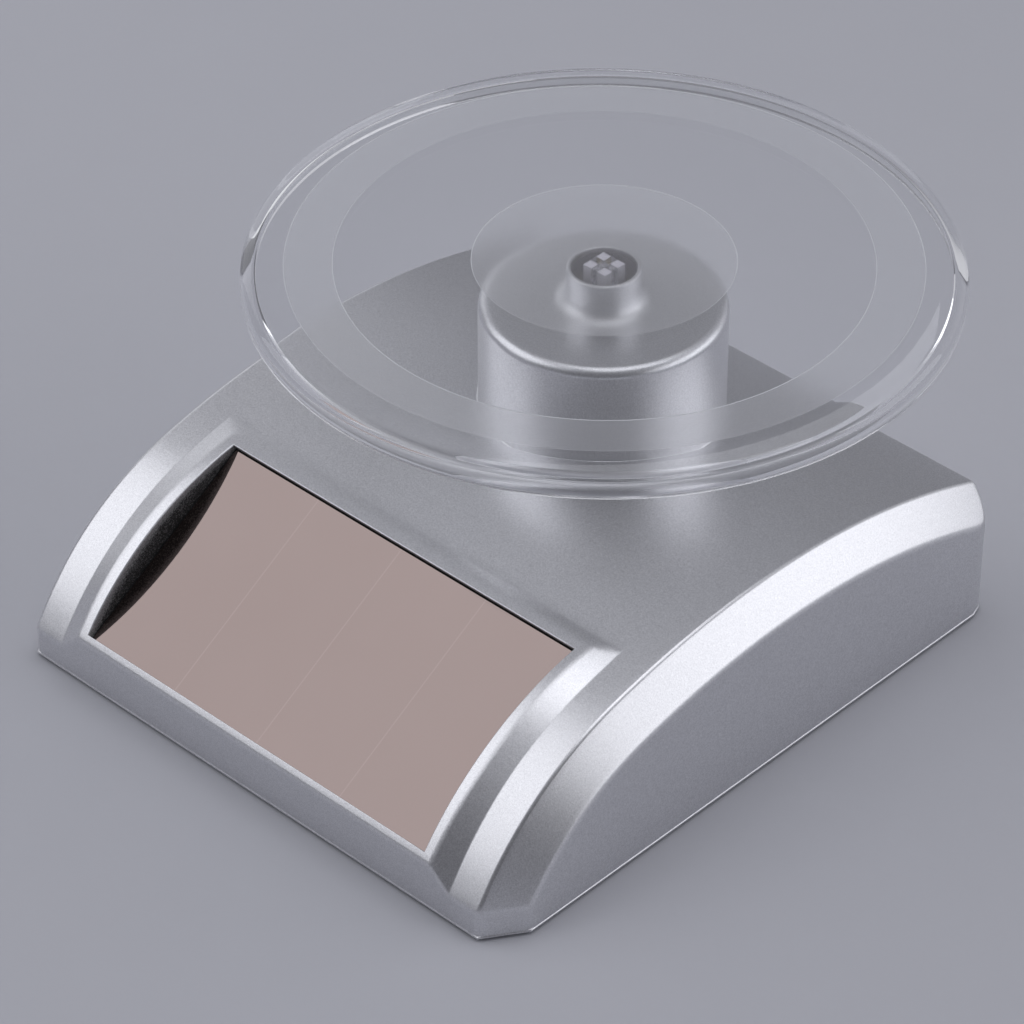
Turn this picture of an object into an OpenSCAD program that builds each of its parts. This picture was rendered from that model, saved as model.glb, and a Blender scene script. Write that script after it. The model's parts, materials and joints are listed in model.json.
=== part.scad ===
// Motorised display turntable: an arched silver base with a sloping solar
// panel at the front, a fixed tower, and a clear plate that a small motor
// turns through three gear stages.  All sizes are in millimetres.
// Frame: +Z up, +Y to the back, X across; the panel faces -Y.  The origin is
// the middle of the whole object's outline, on the surface that it stands on.

/* [Base] */
// Half of the base's width at the floor
half_w = 46.9; // [46:0.1:48]
// Front face to the turntable's axis
front_d = 69.8; // [69:0.1:71]
// Turntable's axis to the back face
back_d = 30.6; // [30:0.1:32]
// Height of the crown of the arch above the lower rim
crown_z = 28.2; // [28:0.1:29]
// Crown of the arch, forward of the axis
crown_y = 13.2; // [12:0.1:14]
// Radius of the long upper arc
arc_r = 119.4; // [115:0.1:125]
// Radius of the short front arc
nose_r = 42; // [40:0.1:44]
// Angle from the crown at which the arcs meet
join_a = 15; // [14:0.5:16]
// Width of the side bevel, measured across
bevel_x = 4.1; // [3.5:0.1:4.5]
// Depth of the side bevel, measured down the side
bevel_d = 5.2; // [4.5:0.1:5.8]
// Wall thickness of the mouldings
wall = 1.8; // [1.6:0.1:2]

/* [Tower] */
// Radius of the tower
tower_r = 17.4; // [17:0.1:18]
// Height of the tower's top
tower_z = 44.9; // [44:0.1:45.5]
// Rounding of the tower's top edge
tower_round = 1.4; // [1:0.1:1.8]
// Radius of the collar on the tower
collar_r = 5.2; // [5.1:0.1:5.5]
// Height of the collar's rim
collar_z = 50.3; // [49.8:0.1:50.4]
// Bore of the collar
collar_bore = 4.6; // [4.5:0.05:4.7]
// Fillet at the collar's foot
collar_fillet = 3.2; // [2.5:0.1:3.4]

/* [Turntable plate] */
// Radius of the clear plate
plate_r = 50; // [48:0.5:52]
// Height of the plate's upper face
plate_z = 52.5; // [52.3:0.1:53]
// Thickness of the plate
plate_t = 1.8; // [1.6:0.1:2]
// Height of the plate's turned-down rim
rim_h = 3.8; // [3.4:0.1:4.2]
// Thickness of the rim
rim_t = 2.0; // [1.8:0.1:2.2]
// Depth of the frosted areas
frost_t = 0.12; // [0.1:0.02:0.2]
// Radius of the frosted centre
frost_mid_r = 18.3; // [18:0.1:19]
// Inner radius of the frosted ring
frost_in_r = 37.2; // [36:0.1:38]
// Outer radius of the frosted ring
frost_out_r = 44; // [43:0.1:45]

/* [Solar panel] */
// Half of the panel's width
panel_hw = 31.6; // [30:0.1:31.8]
// Half of the panel's length up the slope
panel_hl = 16.15; // [15.5:0.05:16.3]
// Slope of the panel
panel_a = 31.35; // [31:0.05:32]
// Forward distance of the panel's middle from the axis
panel_y = 53.97; // [53.5:0.01:54.5]
// Height of the middle of the panel's face
panel_z = 16.45; // [16:0.05:16.8]
// Thickness of the cover glass
glass_t = 1.0; // [0.8:0.1:1.1]
// Half-width of the raised bezel at its crest
crest_hw = 34.1; // [33.8:0.1:34.5]
// Half-width of the raised bezel at its foot
foot_hw = 37.5; // [37:0.1:38]
// Half-width of the opening in the bezel
open_hw = 32.5; // [32.4:0.05:32.7]

/* [Gear train] */
// Gear module
gear_m = 0.5; // [0.5:0.05:0.5]
// Teeth on each wheel
wheel_n = 42; // [40:1:42]
// Teeth on each pinion
pinion_n = 10; // [10:1:12]
// Pressure angle
press_a = 25; // [24:1:25]
// Backlash allowance on each tooth
backlash = 0.05; // [0.04:0.01:0.08]
// Direction from the output wheel to the second idler
dir_2 = 200; // [198:1:202]
// Direction from the second idler to the first idler
dir_1 = 290; // [288:1:292]
// Direction from the first idler to the motor
dir_m = 0; // [-2:1:2]

/* [Motor and battery] */
// Radius of the motor's can
motor_r = 12; // [11:0.5:12]
// Length of the motor's can
motor_l = 11.4; // [10:0.1:11.5]
// Radius of the battery cell
cell_r = 7.1; // [7:0.05:7.15]
// Length of the battery cell
cell_l = 50.2; // [49:0.1:50.5]
// Backward distance of the cell from the axis
cell_y = 20.1; // [20:0.1:20.2]

/* [Feet] */
// How far the rubber feet stand below the base
foot_h = 0.5; // [0.4:0.1:1]
// Radius of each foot
foot_r = 4; // [3:0.5:5]

/* [Hidden] */
eps = 0.02;
axis_y = (front_d - plate_r) / 2;
arc_c = [-crown_y, crown_z - arc_r];
nose_c = arc_c + (arc_r - nose_r) * [-sin(join_a), cos(join_a)];
// height of the gear layers
base_plate_z = 13.9;
plate_th = 1.2;
layer_z = [15.4, 17.8, 20.2];
wheel_t = 2.0;
top_plate_z = 22.8;
centre_d = gear_m * (wheel_n + pinion_n) / 2;
idler2_p = centre_d * [cos(dir_2), sin(dir_2)];
idler1_p = idler2_p + centre_d * [cos(dir_1), sin(dir_1)];
motor_p = idler1_p + centre_d * [cos(dir_m), sin(dir_m)];
box_screws = [[-21, -28], [16, -28], [-23.5, 5], [14.8, 4]];
case_screws = [[-39, -46], [39, -46], [-39, 8], [39, 8]];
feet_p = [[-36, -58], [36, -58], [-36, 20], [36, 20]];
cover_t = 1.6;
door_hw = 29;
door_y0 = 12;
cell_z = 9.6;
board_p = [30, -14];
switch_x = 37;
switch_z = 9;

// Moves a piece from the axis frame to the object's frame
module put() translate([0, axis_y, foot_h]) children();
// Sets a side-view outline (y, z) out along x from x0 to x1
module along_x(x0, x1) translate([x0, 0, 0]) rotate([90, 0, 90]) linear_extrude(x1 - x0) children();
// Places children in the panel's plane: x across, y up the slope, z outward
module on_panel() translate([0, -panel_y, panel_z]) rotate([panel_a, 0, 0]) children();

// Half plane on one side of the line where the two arcs meet
module side_of_join(k) translate(nose_c) rotate(join_a) translate([k == 0 ? 0 : -200, -200]) square([200, 400]);
// Side-view outline of the arch, inset by d: part 0 is the long arc, 1 the nose
module arch_2d(k, d) intersection() {
  translate(k == 0 ? arc_c : nose_c) circle(r = (k == 0 ? arc_r : nose_r) - d, $fn = 256);
  side_of_join(k);
  translate([-front_d - 5, -5]) square([front_d + back_d + 10, crown_z + 10]);
}
// Cone-shaped end of the arch, which makes the side bevel
module arch_end(k, d) intersection() {
  translate([0, k == 0 ? arc_c[0] : nose_c[0], k == 0 ? arc_c[1] : nose_c[1]])
    rotate([0, 90, 0]) cylinder(h = bevel_x, r1 = (k == 0 ? arc_r : nose_r) - d,
      r2 = (k == 0 ? arc_r : nose_r) - d - bevel_d, $fn = 256);
  along_x(0, bevel_x) intersection() {
    side_of_join(k);
    translate([-front_d - 5, -5]) square([front_d + back_d + 10, crown_z + 10]);
  }
}
// Plan of the base, inset by d
module plan_2d(d) {
  w = half_w - d; f = -front_d + d; b = back_d - d;
  polygon([[-w + bevel_x, f], [w - bevel_x, f], [w, f + 6], [w, b - 3.4], [w - 1.1, b - 1.1],
    [w - 3.4, b], [-w + 3.4, b], [-w + 1.1, b - 1.1], [-w, b - 3.4], [-w, f + 6]]);
}
// The arched base as a solid, inset by d
module arch_solid(d, z0 = 0) {
  w = half_w - d;
  intersection() {
    union() for (k = [0, 1]) {
      along_x(-w + bevel_x, w - bevel_x) arch_2d(k, d);
      translate([w - bevel_x, 0, 0]) arch_end(k, d);
      mirror([1, 0, 0]) translate([w - bevel_x, 0, 0]) arch_end(k, d);
    }
    translate([0, 0, z0]) linear_extrude(crown_z + 5) plan_2d(d);
  }
}
// Side-view outline of the raised bezel's crest
crest_c = [-33.05, -18.56];
crest_r = 45;
crest_back = 33.9;
// gap between the panel and the upper and lower edges of its opening
open_gap = 0.25;
// how far the front lip stands above the panel
lip_w = 0.2;
// point of the panel's side view, v up the slope and w out of it, as [y, z]
function side_at(v, w) = [-panel_y + v * cos(panel_a) - w * sin(panel_a), panel_z + v * sin(panel_a) + w * cos(panel_a)];
module crest_2d(d) intersection() {
  translate(crest_c) circle(r = crest_r - d, $fn = 256);
  translate([-front_d + d, 0]) square([front_d - crest_back - d, 40]);
}
module top_housing() color("silver") put() difference() {
  union() {
    difference() {
      union() {
        arch_solid(0);
        // raised bezel with a sloping facet on each side
        difference() {
          along_x(-crest_hw, crest_hw) crest_2d(0);
          arch_solid(wall + 0.5, -1);
        }
        for (s = [0, 1]) mirror([s, 0, 0]) translate([crest_hw, 0, 0]) intersection() {
          difference() {
            translate([0, crest_c[0], crest_c[1]]) rotate([0, 90, 0])
              cylinder(h = foot_hw - crest_hw, r1 = crest_r, r2 = crest_r - 1.95, $fn = 256);
            translate([-crest_hw, 0, 0]) arch_solid(wall + 0.5, -1);
          }
          translate([0, -front_d, 0]) cube([foot_hw - crest_hw, front_d - crest_back, 40]);
        }
        // tower
        translate([0, 0, crown_z - 12]) rotate_extrude($fn = 128) tower_2d();
      }
      // hollow under the arch
      translate([0, 0, -eps]) arch_solid(wall, 0);
      translate([0, 0, -1]) linear_extrude(2) plan_2d(wall);
      // hollow of the tower
      translate([0, 0, 10]) cylinder(r = tower_r - wall, h = tower_z - wall - 10, $fn = 96);
    }
    // inner wall of the tower's bush seat
    translate([0, 0, 38]) cylinder(r = collar_bore + 1.6, h = tower_z - 39, $fn = 64);
    // posts for the case screws
    for (p = case_screws) intersection() {
      translate([p[0], p[1], cover_t]) cylinder(r = 3, h = 40, $fn = 48);
      arch_solid(wall / 2, 0);
    }
    // pads for the gearbox
    for (p = box_screws) intersection() {
      translate([p[0], p[1], top_plate_z + plate_th]) cylinder(r = 2.6, h = 6, $fn = 48);
      arch_solid(wall / 2, 0);
    }
    // ribs that hold the switch
    for (s = [-1, 1]) translate([switch_x + s * 5.1 - 0.5, back_d - wall - 4.4, switch_z - 3])
      cube([1, 4.5, 6]);
    // ledge around the panel opening
    panel_ledge();
  }
  // opening for the panel
  // and a lip in front of it, lower than the crest at its sides
  along_x(-open_hw, open_hw) polygon([side_at(-panel_hl - open_gap, -3.2), side_at(panel_hl + open_gap, -3.2),
    side_at(panel_hl + open_gap, 20), [-front_d - 2, 40], [-front_d - 2, 6.3], side_at(-panel_hl - open_gap, lip_w)]);
  // bore for the bush and the shaft
  translate([0, 0, 30]) cylinder(r = collar_bore, h = 30, $fn = 64);
  // pilot holes
  for (p = case_screws) translate([p[0], p[1], -1]) cylinder(r = 1.1, h = 13, $fn = 24);
  for (p = box_screws) translate([p[0], p[1], 20]) cylinder(r = 0.85, h = 5.7, $fn = 24);
  // slot for the switch's knob
  translate([switch_x - 3.2, back_d - wall - 1, switch_z - 1.7]) cube([6.4, wall + 2, 3.4]);
  // notch for the battery door
  translate([-door_hw - 0.15, back_d - wall - 1, -1]) cube([2 * door_hw + 0.3, wall + 2, 1 + cover_t + 0.1]);
  for (s = [-1, 1]) translate([s * (door_hw + 0.3) - 0.7, back_d - wall - 1, 0.45]) cube([1.4, wall + 2, 0.8]);
}
// Half section of the tower and its collar, from the level crown_z - 12 up
module tower_2d() {
  z0 = crown_z - 12;
  h = tower_z - z0;
  difference() {
    union() {
      square([tower_r, h - tower_round]);
      square([tower_r - tower_round, h]);
      translate([tower_r - tower_round, h - tower_round]) circle(r = tower_round, $fn = 64);
      square([collar_r, collar_z - z0 - 0.35]);
      square([collar_r - 0.35, collar_z - z0]);
      translate([collar_r - 0.35, collar_z - z0 - 0.35]) circle(r = 0.35, $fn = 32);
      difference() {
        translate([0, h - 0.5]) square([collar_r + collar_fillet, collar_fillet + 0.5]);
        translate([collar_r + collar_fillet, h + collar_fillet]) circle(r = collar_fillet, $fn = 64);
      }
    }
    translate([-10, -1]) square([10, 60]);
  }
}
// Thickening of the roof that carries the panel's frame
module panel_ledge() intersection() {
  arch_solid(0.3, 0);
  on_panel() translate([-open_hw - 1.2, -panel_hl - open_gap - 0.7, -3.2])
    cube([2 * open_hw + 2.4, 2 * panel_hl + 2 * open_gap + 2.0, 3.4]);
}

module panel_frame() color("#141416") put() on_panel() difference() {
  translate([-open_hw + 0.03, -panel_hl - open_gap + 0.03, -3.2])
    cube([2 * open_hw - 0.06, 2 * (panel_hl + open_gap) - 0.06, 3.15]);
  translate([-panel_hw - 0.1, -panel_hl - 2, -2.3]) cube([2 * panel_hw + 0.2, 2 * panel_hl + 4, 20]);
  translate([-panel_hw + 2.4, -panel_hl + 2.4, -4]) cube([2 * panel_hw - 4.8, 2 * panel_hl - 4.8, 6]);
}
module panel_glass() color("#9a8a84") put() on_panel()
  translate([-panel_hw, -panel_hl, -glass_t]) cube([2 * panel_hw, 2 * panel_hl, glass_t]);
module solar_cells() color("#6b5148") put() on_panel()
  for (k = [0:3]) translate([-panel_hw + 0.3 + k * (2 * panel_hw - 0.35) / 4, -panel_hl + 0.3, -glass_t - 0.25])
    cube([(2 * panel_hw - 0.6 - 0.75) / 4, 2 * panel_hl - 0.6, 0.25]);
module panel_foam_tape() color("#26262a") put() on_panel() difference() {
  translate([-panel_hw + 0.2, -panel_hl + 0.2, -2.3]) cube([2 * panel_hw - 0.4, 2 * panel_hl - 0.4, 2.3 - glass_t - 0.25]);
  translate([-panel_hw + 2.6, -panel_hl + 2.6, -3]) cube([2 * panel_hw - 5.2, 2 * panel_hl - 5.2, 4]);
}

module bottom_cover() color("#8f9094") put() difference() {
  union() {
    linear_extrude(cover_t) plan_2d(wall + 0.15);
    // battery compartment
    difference() {
      translate([-30.4, 11.3, cover_t]) cube([60.8, 17.2, 16.6]);
      translate([-28, 12.7, 0]) cube([56, 14.8, 17]);
    }
    // standoffs for the circuit board
    for (d = [[-7, -4], [7, 4]]) translate([board_p[0] + d[0], board_p[1] + d[1], cover_t - eps])
      cylinder(r = 1.4, h = 1.6, $fn = 32);
  }
  // opening for the door, with a groove along each side
  translate([-door_hw - 0.15, door_y0 - 0.15, -1]) cube([2 * door_hw + 0.3, 30, 1 + cover_t + 0.1]);
  for (s = [-1, 1]) translate([s * (door_hw + 0.3) - 0.65, door_y0 - 0.15, 0.5]) cube([1.3, 30, 0.7]);
  translate([-28, 12.7, 0]) cube([56, 14.8, 17]);
  // holes and head recesses for the case screws
  for (p = case_screws) translate([p[0], p[1], -1]) {
    cylinder(r = 1.6, h = 5, $fn = 32);
    cylinder(r = 2.9, h = 1.9, $fn = 48);
  }
  // recesses for the feet
  for (p = feet_p) translate([p[0], p[1], -1]) cylinder(r = foot_r + 0.1, h = 1.6, $fn = 48);
  // holes in the board's standoffs
  for (d = [[-7, -4], [7, 4]]) translate([board_p[0] + d[0], board_p[1] + d[1], cover_t - 0.6])
    cylinder(r = 0.6, h = 4, $fn = 24);
  // passage for the battery's leads
  for (s = [-1, 1]) translate([s * 26.3 - 0.8, 11, 3]) cube([1.6, 2, 1.6]);
  // relief under the motor
  translate([motor_p[0], motor_p[1], 1.0]) cylinder(r = 4.2, h = 2, $fn = 48);
}
module battery_door() color("#8f9094") put() union() {
  difference() {
    translate([-door_hw, door_y0, 0]) cube([2 * door_hw, back_d - door_y0, cover_t]);
    // finger grip
    for (k = [0:4]) translate([-6, door_y0 + 5 + k * 1.6, -0.1]) cube([12, 0.8, 0.5]);
  }
  // tongues that run in the cover's grooves
  for (s = [-1, 1]) translate([s * (door_hw + 0.25) - 0.5, door_y0 + 0.3, 0.6]) cube([1, 14.5, 0.5]);
}
module rubber_feet() color("#202022") put()
  for (p = feet_p) translate([p[0], p[1], -foot_h]) {
    cylinder(r = foot_r, h = foot_h + 0.6, $fn = 48);
  }
module housing_screws() color("#b9bbc0") put() for (p = case_screws) translate([p[0], p[1], 0]) {
  difference() {
    translate([0, 0, -0.1 + 0.15]) cylinder(r = 2.6, h = 0.85, $fn = 48);
    for (a = [0, 90]) rotate(a) translate([-1.4, -0.25, -0.5]) cube([2.8, 0.5, 1.0]);
  }
  translate([0, 0, 0.9]) cylinder(r = 1.1, h = 10.5, $fn = 32);
}

// Clear plate: disc, turned-down rounded rim, frosted areas, drive key
module turntable_plate() color([0.86, 0.88, 0.92, 0.45]) put() difference() {
  union() {
    translate([0, 0, plate_z - rim_h]) rotate_extrude($fn = 192) rim_2d();
    // key that drops into the cross slot of the shaft
    for (a = [0, 90]) rotate(a) translate([-1.95, -0.5, plate_z - plate_t - 2.6]) cube([3.9, 1.0, 2.7]);
  }
  // sunk frosted areas
  translate([0, 0, plate_z - frost_t]) difference() {
    cylinder(r = frost_out_r, h = 1, $fn = 192);
    translate([0, 0, -1]) cylinder(r = frost_in_r, h = 3, $fn = 192);
  }
  translate([0, 0, plate_z - frost_t]) cylinder(r = frost_mid_r, h = 1, $fn = 128);
}
module rim_2d() {
  intersection() {
    union() {
      translate([0, rim_h - plate_t]) square([plate_r - rim_t, plate_t]);
      translate([plate_r - rim_t, rim_t / 2]) square([rim_t, rim_h - rim_t / 2 - 1.9]);
      translate([plate_r - rim_t / 2, rim_t / 2]) circle(r = rim_t / 2, $fn = 64);
      translate([plate_r - 1.9, rim_h - 1.9]) circle(r = 1.9, $fn = 96);
      translate([plate_r - rim_t, rim_h - plate_t - 0.1]) square([0.12, plate_t + 0.1]);
    }
    square([plate_r, rim_h]);
  }
}
module output_shaft() color("#d9dade") put() difference() {
  union() {
    // square drive head
    translate([-2.03, -2.03, 45.9]) cube([4.06, 4.06, plate_z - plate_t - 0.05 - 45.9]);
    translate([0, 0, layer_z[2] - 0.2]) cylinder(r = 2, h = 45.9 + 0.1 - layer_z[2] + 0.2, $fn = 48);
    translate([0, 0, base_plate_z + 0.2]) cylinder(r = 1.5, h = layer_z[2] - base_plate_z, $fn = 48);
    // thrust collar
    translate([0, 0, 38.4]) cylinder(r = 3.4, h = 1, $fn = 48);
  }
  // cross slot
  for (a = [0, 90]) rotate(a) translate([-4, -0.6, 47.2]) cube([8, 1.2, 10]);
}
module shaft_bush() color("#c8a45a") put() difference() {
  union() {
    translate([0, 0, 40.6]) cylinder(r = collar_bore - 0.01, h = 4.6, $fn = 64);
    translate([0, 0, 39.9 + 0.1]) cylinder(r = collar_bore - 0.01, h = 0.7, $fn = 64);
  }
  translate([0, 0, 30]) cylinder(r = 2.05, h = 30, $fn = 64);
}
module thrust_washer() color("#e8e6df") put() translate([0, 0, 39.45]) difference() {
  cylinder(r = 3.9, h = 0.45, $fn = 48);
  translate([0, 0, -1]) cylinder(r = 2.05, h = 4, $fn = 48);
}

// Involute spur gear outline with n teeth, a tooth centred on +x
function inv_deg(a) = tan(a) * 180 / PI - a;
function half_a(n, r, rb) = 90 / n - backlash / (gear_m * n) * 180 / PI
  + inv_deg(press_a) - inv_deg(r <= rb ? 0 : acos(rb / r));
function flank(n) = let (rp = gear_m * n / 2, rb = rp * cos(press_a), ra = rp + 0.8 * gear_m,
    rr = rp - 1.05 * gear_m, r0 = max(rb, rr))
  concat(rr < rb ? [[rr, half_a(n, rb, rb)]] : [],
    [for (k = [0:5]) let (r = r0 + (ra - r0) * k / 5) [r, half_a(n, r, rb)]]);
function gear_pts(n) = let (f = flank(n), m = len(f))
  [for (t = [0:n - 1]) each concat(
    [for (k = [0:m - 1]) let (a = t * 360 / n - f[k][1]) f[k][0] * [cos(a), sin(a)]],
    [for (k = [m - 1:-1:0]) let (a = t * 360 / n + f[k][1]) f[k][0] * [cos(a), sin(a)]])];
module spur(n, t, a) rotate(a) linear_extrude(t) polygon(gear_pts(n));

// Output wheel, pressed on the shaft's flat
module output_wheel() color("#e9e4d4") put() difference() {
  union() {
    translate([0, 0, layer_z[2]]) spur(wheel_n, wheel_t, dir_2);
    translate([0, 0, layer_z[2]]) cylinder(r = 4, h = 2.4, $fn = 48);
  }
  translate([0, 0, 10]) cylinder(r = 2, h = 30, $fn = 48);
  for (k = [0:4]) rotate(k * 72 + 36) translate([7, 0, 10]) cylinder(r = 1.5, h = 30, $fn = 32);
}
// Wheel in layer k with a pinion in the layer above it
module compound(k, a_wheel, a_pinion) difference() {
  union() {
    translate([0, 0, layer_z[k]]) spur(wheel_n, wheel_t, a_wheel);
    translate([0, 0, layer_z[k] + wheel_t - eps]) cylinder(r = 1.9, h = 0.4 + 2 * eps, $fn = 48);
    translate([0, 0, layer_z[k + 1]]) spur(pinion_n, wheel_t, a_pinion);
  }
  translate([0, 0, 10]) cylinder(r = 1.03, h = 30, $fn = 48);
  for (k = [0:4]) rotate(k * 72 + 10) translate([6.6, 0, 10]) cylinder(r = 1.7, h = 30, $fn = 32);
}
module idler_gear_1() color("#f0ece0") put() translate([idler1_p[0], idler1_p[1], 0])
  compound(0, dir_m, dir_1 + 180 + 180 / pinion_n);
module idler_gear_2() color("#f0ece0") put() translate([idler2_p[0], idler2_p[1], 0])
  compound(1, dir_1, dir_2 + 180 + 180 / pinion_n);
module idler_pins() color("#c3c6cb") put() for (p = [idler1_p, idler2_p])
  translate([p[0], p[1], base_plate_z + 0.1]) cylinder(r = 1, h = top_plate_z + plate_th - base_plate_z - 0.2, $fn = 32);

module plate_2d() polygon([[-26.5, 2], [-26.5, 8], [-21, 8], [-17, 6], [17.8, 7], [17.8, -1], [19, -24],
  [19, -31], [-24, -31], [-24, -25]]);
module gearbox_base_plate() color("#3c3e44") put() difference() {
  union() {
    translate([0, 0, base_plate_z]) linear_extrude(plate_th) plate_2d();
    for (p = box_screws) translate([p[0], p[1], base_plate_z])
      cylinder(r = 2.2, h = top_plate_z - base_plate_z, $fn = 48);
  }
  for (p = box_screws) translate([p[0], p[1], 0]) cylinder(r = 1.15, h = 30, $fn = 32);
  translate([0, 0, 0]) cylinder(r = 1.55, h = 20, $fn = 32);
  for (p = [idler1_p, idler2_p]) translate([p[0], p[1], 0]) cylinder(r = 1, h = 20, $fn = 32);
  translate([motor_p[0], motor_p[1], 0]) cylinder(r = 3.6, h = 20, $fn = 48);
  for (s = [-1, 1]) translate([motor_p[0], motor_p[1] + s * 8.5, 0]) cylinder(r = 1.1, h = 20, $fn = 32);
}
module gearbox_top_plate() color("#3c3e44") put() difference() {
  translate([0, 0, top_plate_z]) linear_extrude(plate_th) plate_2d();
  for (p = box_screws) translate([p[0], p[1], 0]) cylinder(r = 1.15, h = 30, $fn = 32);
  translate([0, 0, 0]) cylinder(r = 2.05, h = 30, $fn = 32);
  for (p = [idler1_p, idler2_p]) translate([p[0], p[1], 0]) cylinder(r = 1, h = 30, $fn = 32);
}
module gearbox_screws() color("#b9bbc0") put() for (p = box_screws) translate([p[0], p[1], base_plate_z]) {
  difference() {
    translate([0, 0, -1.2]) cylinder(r = 2, h = 1.2, $fn = 32);
    for (a = [0, 90]) rotate(a) translate([-1.1, -0.2, -1.5]) cube([2.2, 0.4, 0.9]);
  }
  translate([0, 0, -0.3]) cylinder(r = 0.85, h = 11.9, $fn = 32);
}

module motor_can() color("#b4b7bd") put() translate([motor_p[0], motor_p[1], base_plate_z]) difference() {
  union() {
    translate([0, 0, -motor_l + 1.6]) cylinder(r = motor_r, h = motor_l - 1.6, $fn = 96);
    translate([0, 0, -0.1]) cylinder(r = 3.5, h = 1.0, $fn = 48);
  }
  translate([0, 0, -motor_l]) cylinder(r = motor_r - 0.7, h = motor_l - 0.8, $fn = 96);
  translate([0, 0, -5]) cylinder(r = 0.8, h = 8, $fn = 32);
  for (s = [-1, 1]) translate([0, s * 8.5, -2]) cylinder(r = 0.8, h = 4, $fn = 24);
}
module motor_end_cap() color("#e7e7ea") put() translate([motor_p[0], motor_p[1], base_plate_z - motor_l]) difference() {
  union() {
    cylinder(r = motor_r, h = 1.6, $fn = 96);
    translate([0, 0, -0.6]) cylinder(r = 3, h = 0.7, $fn = 48);
  }
  translate([0, 0, 0.6]) cylinder(r = 0.8, h = 3, $fn = 32);
}
module motor_screws() color("#b9bbc0") put() for (s = [-1, 1])
  translate([motor_p[0], motor_p[1] + s * 8.5, base_plate_z + plate_th]) {
    difference() {
      cylinder(r = 1.8, h = 0.9, $fn = 32);
      translate([-1.8, -0.2, 0.5]) cube([3.6, 0.4, 1]);
    }
    translate([0, 0, -2]) cylinder(r = 0.8, h = 2.1, $fn = 24);
  }
module motor_shaft() color("#c3c6cb") put() translate([motor_p[0], motor_p[1], 0]) {
  translate([0, 0, base_plate_z - motor_l + 0.7]) cylinder(r = 0.75, h = layer_z[0] + wheel_t - base_plate_z + motor_l - 0.8, $fn = 32);
  // rotor
  difference() {
    translate([0, 0, base_plate_z - motor_l + 2.2]) cylinder(r = 7.6, h = 6.2, $fn = 64);
    for (k = [0:2]) rotate(k * 120) translate([7.2, 0, 0]) cylinder(r = 1.9, h = 20, $fn = 32);
  }
}
module motor_pinion() color("#c9a24a") put() translate([motor_p[0], motor_p[1], 0]) difference() {
  translate([0, 0, layer_z[0]]) spur(pinion_n, wheel_t, dir_m + 180 + 180 / pinion_n);
  translate([0, 0, 10]) cylinder(r = 0.75, h = 20, $fn = 32);
}

module battery_cell() color("#3f6f4c") put() translate([27.5 - cell_l, cell_y, cell_z]) rotate([0, 90, 0]) {
  cylinder(r = cell_r, h = cell_l - 1.4, $fn = 96);
  cylinder(r = 2.6, h = cell_l, $fn = 48);
}
module battery_contact() color("#cfd1d6") put() {
  translate([27.52, cell_y - 5, cell_z - 6]) cube([0.4, 10, 12]);
  translate([25.9, cell_y - 5.5 - 1.6, cell_z - 5.9]) cube([2.02, 0.3, 3]);
  translate([27.52, cell_y - 5.5 - 1.6, cell_z - 5.9]) cube([0.4, 2.3, 3]);
}
// Points of a closed tube swept along the path p, with s sides and radius r
function unit(v) = v / norm(v);
function tangent(p, i) = unit(p[min(i + 1, len(p) - 1)] - p[max(i - 1, 0)]);
function side_v(t, up) = unit(cross(t, up));
function tube_pts(p, r, s, up) = [for (i = [0:len(p) - 1]) let (t = tangent(p, i), a = side_v(t, up), b = cross(t, a))
  for (k = [0:s - 1]) p[i] + r * (cos(k * 360 / s) * a + sin(k * 360 / s) * b)];
function tube_faces(n, s) = concat([[for (k = [0:s - 1]) k]],
  [for (i = [0:n - 2]) for (k = [0:s - 1]) each [
    [i * s + k, (i + 1) * s + k, (i + 1) * s + (k + 1) % s],
    [i * s + k, (i + 1) * s + (k + 1) % s, i * s + (k + 1) % s]]],
  [[for (k = [s - 1:-1:0]) (n - 1) * s + k]]);
module tube(p, r, s = 8, up = [0.11, 0.23, 0.97])
  polyhedron(points = tube_pts(p, r, s, up), faces = tube_faces(len(p), s));
// Smooth path through hand-set points
function seg(p, i, u) = let (a = p[max(i - 1, 0)], b = p[i], c = p[i + 1], d = p[min(i + 2, len(p) - 1)])
  0.5 * (2 * b + (c - a) * u + (2 * a - 5 * b + 4 * c - d) * u * u + (3 * b - a - 3 * c + d) * u * u * u);
function smooth(p, n) = concat([for (i = [0:len(p) - 2]) for (k = [0:n - 1]) seg(p, i, k / n)], [p[len(p) - 1]]);

module battery_spring() color("#cfd1d6") put() {
  translate([-27.92, cell_y - 5, cell_z - 6]) cube([0.4, 10, 12]);
  translate([-27.92, cell_y, cell_z]) tube([for (k = [0:60]) let (u = k / 60, a = u * 3.4 * 360, r = 5.0 - 2.2 * u)
    [0.75 + u * 4.1, r * cos(a), r * sin(a)]], 0.3, 8, [1, 0, 0]);
}

module switch_body() color("#202226") put() difference() {
  union() {
    translate([switch_x - 4.55, back_d - wall - 4.4, switch_z - 2.2]) cube([9.1, 4.35, 4.4]);
    for (k = [-1, 0, 1]) translate([switch_x + k * 2.4 - 0.3, back_d - wall - 7, switch_z - 0.2]) cube([0.6, 2.7, 0.4]);
  }
  translate([switch_x - 3.2, back_d - wall - 2.2, switch_z - 1.3]) cube([6.4, 4, 2.6]);
}
module switch_knob() color("#101012") put() union() {
  translate([switch_x - 2.8, back_d - wall - 2.1, switch_z - 1.2]) cube([3.2, 2.1, 2.4]);
  difference() {
    translate([switch_x - 2.6, back_d - wall - 0.2, switch_z - 1.1]) cube([2.4, wall + 1.0, 2.2]);
    for (k = [0, 1, 2]) translate([switch_x - 2.2 + k * 0.7, back_d + 0.55, switch_z - 2]) cube([0.3, 1, 4]);
  }
}

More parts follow.
